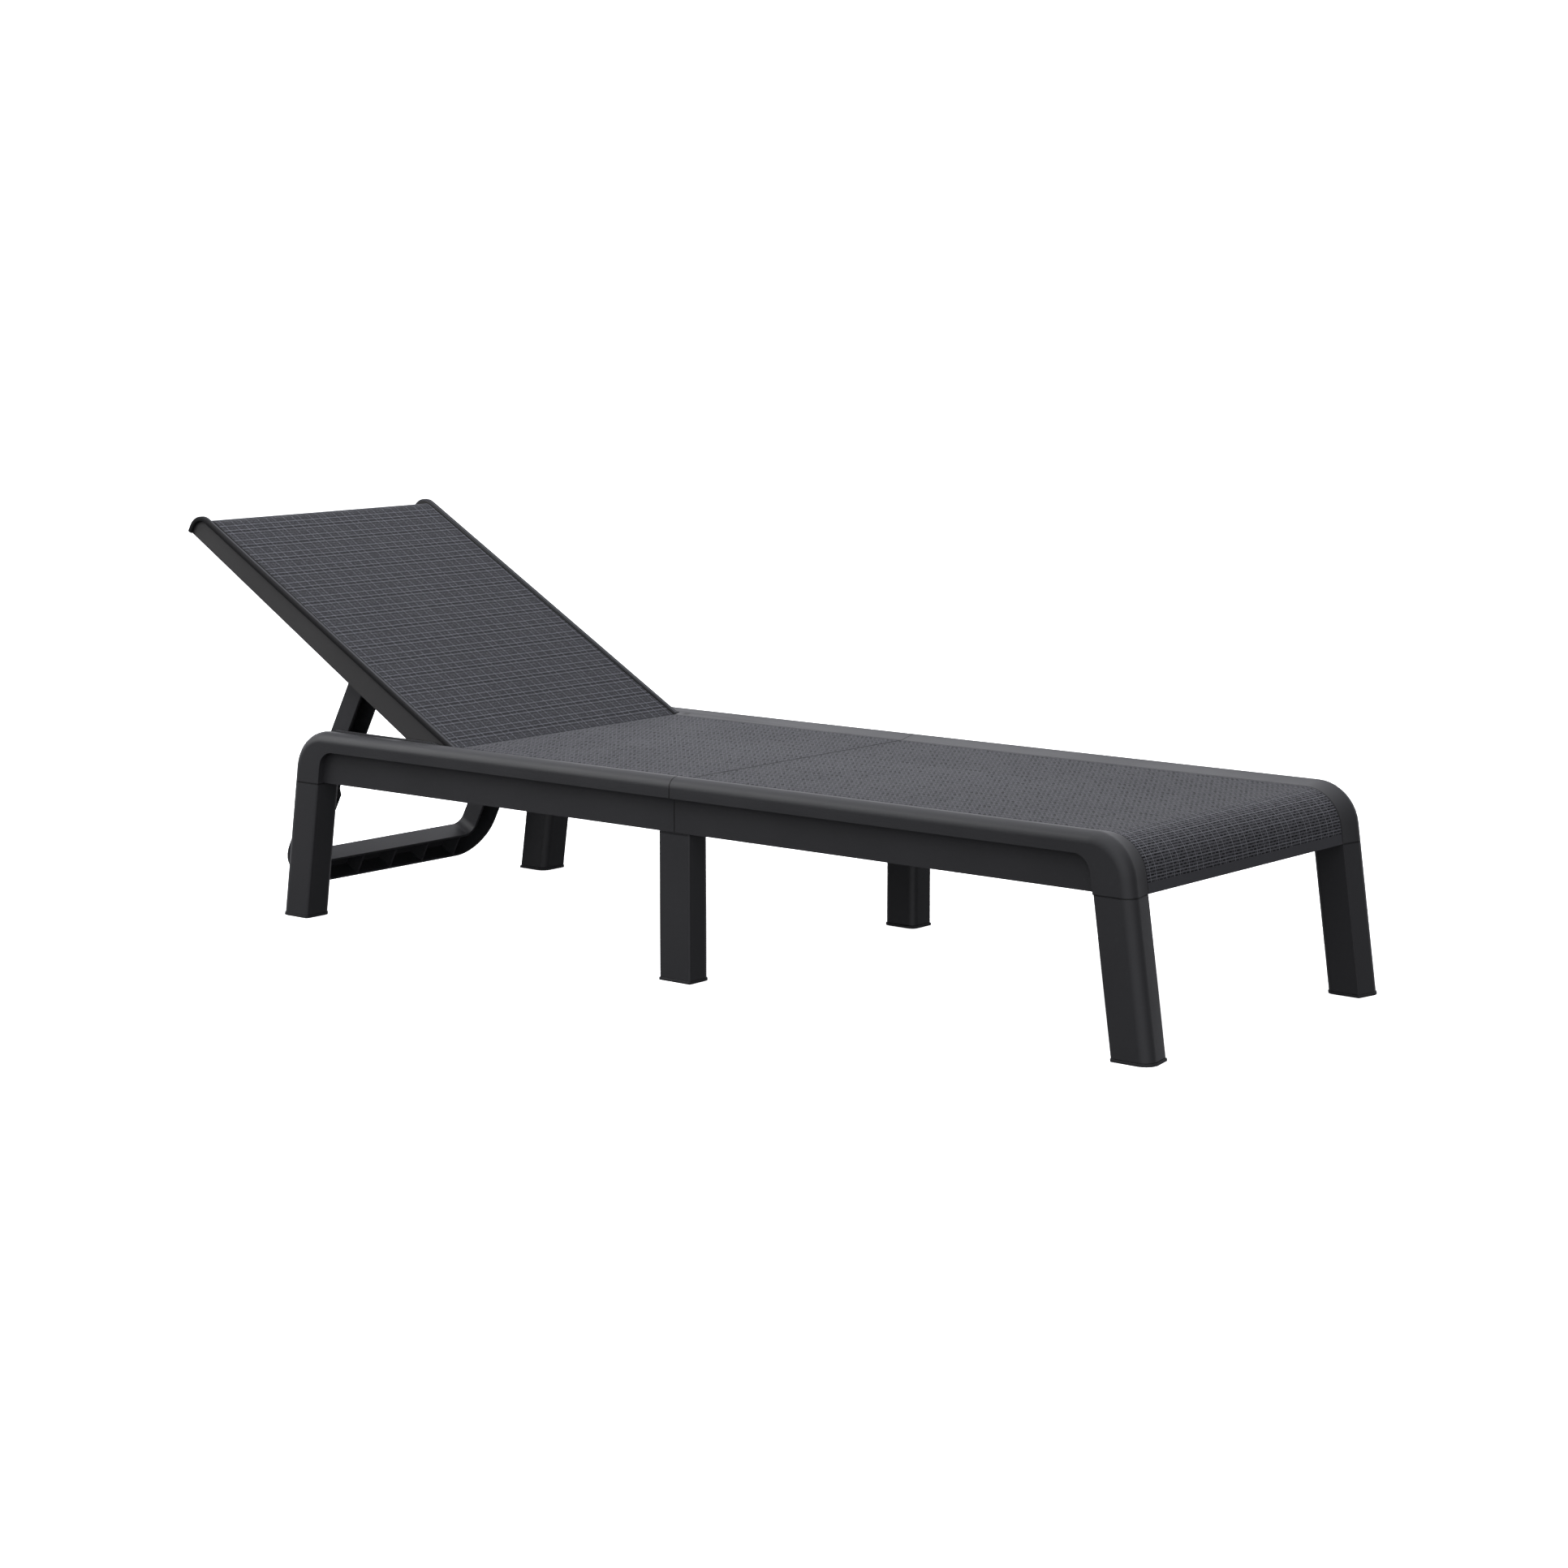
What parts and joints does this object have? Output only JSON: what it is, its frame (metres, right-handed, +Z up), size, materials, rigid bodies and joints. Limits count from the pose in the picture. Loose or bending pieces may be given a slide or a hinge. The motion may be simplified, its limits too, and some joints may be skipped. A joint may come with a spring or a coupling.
{
  "type": "sun lounger",
  "caption": "Flat moulded resin sun lounger with a two-piece slab frame on splayed legs, a woven-look raised backrest on a side hinge and a folding U-shaped prop.",
  "frame": {"origin": "on the floor under the middle of the lounger's overall box, at the lengthwise mid-plane", "axes": "+X runs from the head end to the foot end, +Y to the left of a person lying with the feet at +X and face up, +Z up"},
  "size_m": [1.841, 0.5804, 0.599],
  "materials": {
    "frame_resin": "graphite moulded resin, satin rim, deck with a fine woven emboss",
    "leg_resin": "graphite moulded resin, satin",
    "backrest_resin": "graphite moulded resin, side rails satin, panel with a woven emboss",
    "prop_resin": "graphite moulded resin, fine grain",
    "foot_cap": "dark flexible plastic, matte",
    "tube_aluminium": "drawn tube, mill finish",
    "pin_steel": "plain stainless steel"
  },
  "bodies": {
    "frame": {"foot_half_frame": "frame_resin", "head_half_frame": "frame_resin", "foot_leg_right": "leg_resin", "foot_leg_left": "leg_resin", "head_leg_right": "leg_resin", "head_leg_left": "leg_resin", "middle_leg_right": "leg_resin", "middle_leg_left": "leg_resin", "foot_leg_cap_right": "foot_cap", "foot_leg_cap_left": "foot_cap", "head_leg_cap_right": "foot_cap", "head_leg_cap_left": "foot_cap", "middle_leg_cap_right": "foot_cap", "middle_leg_cap_left": "foot_cap", "hinge_pin_right": "pin_steel", "hinge_pin_left": "pin_steel", "prop_rest_tube": "tube_aluminium", "seam_bolt_1": "pin_steel", "seam_bolt_2": "pin_steel", "seam_bolt_3": "pin_steel", "seam_bolt_4": "pin_steel", "seam_nut_1": "pin_steel", "seam_nut_2": "pin_steel", "seam_nut_3": "pin_steel", "seam_nut_4": "pin_steel", "leg_screw_1": "pin_steel", "leg_screw_2": "pin_steel", "leg_screw_3": "pin_steel", "leg_screw_4": "pin_steel", "leg_screw_5": "pin_steel", "leg_screw_6": "pin_steel", "leg_screw_7": "pin_steel", "leg_screw_8": "pin_steel"},
    "backrest": {"backrest": "backrest_resin"},
    "prop": {"backrest_prop": "prop_resin", "prop_pivot_pin_right": "pin_steel", "prop_pivot_pin_left": "pin_steel"}
  },
  "joints": [
    {"name": "backrest_tilt", "type": "hinge", "parent": "frame", "child": "backrest", "pos_m": [-0.3464, 0, 0.2647], "axis": [0, 1, 0], "range_deg": [-29.93, 0]},
    {"name": "prop_swing", "type": "hinge", "parent": "backrest", "child": "prop", "pos_m": [-0.56636, 0, 0.38972], "axis": [0, 1, 0], "range_deg": [0, 87.03]}
  ],
  "couplings": [
    {"joint": "prop_swing", "follows": "backrest_tilt", "ratio": -2.907}
  ]
}
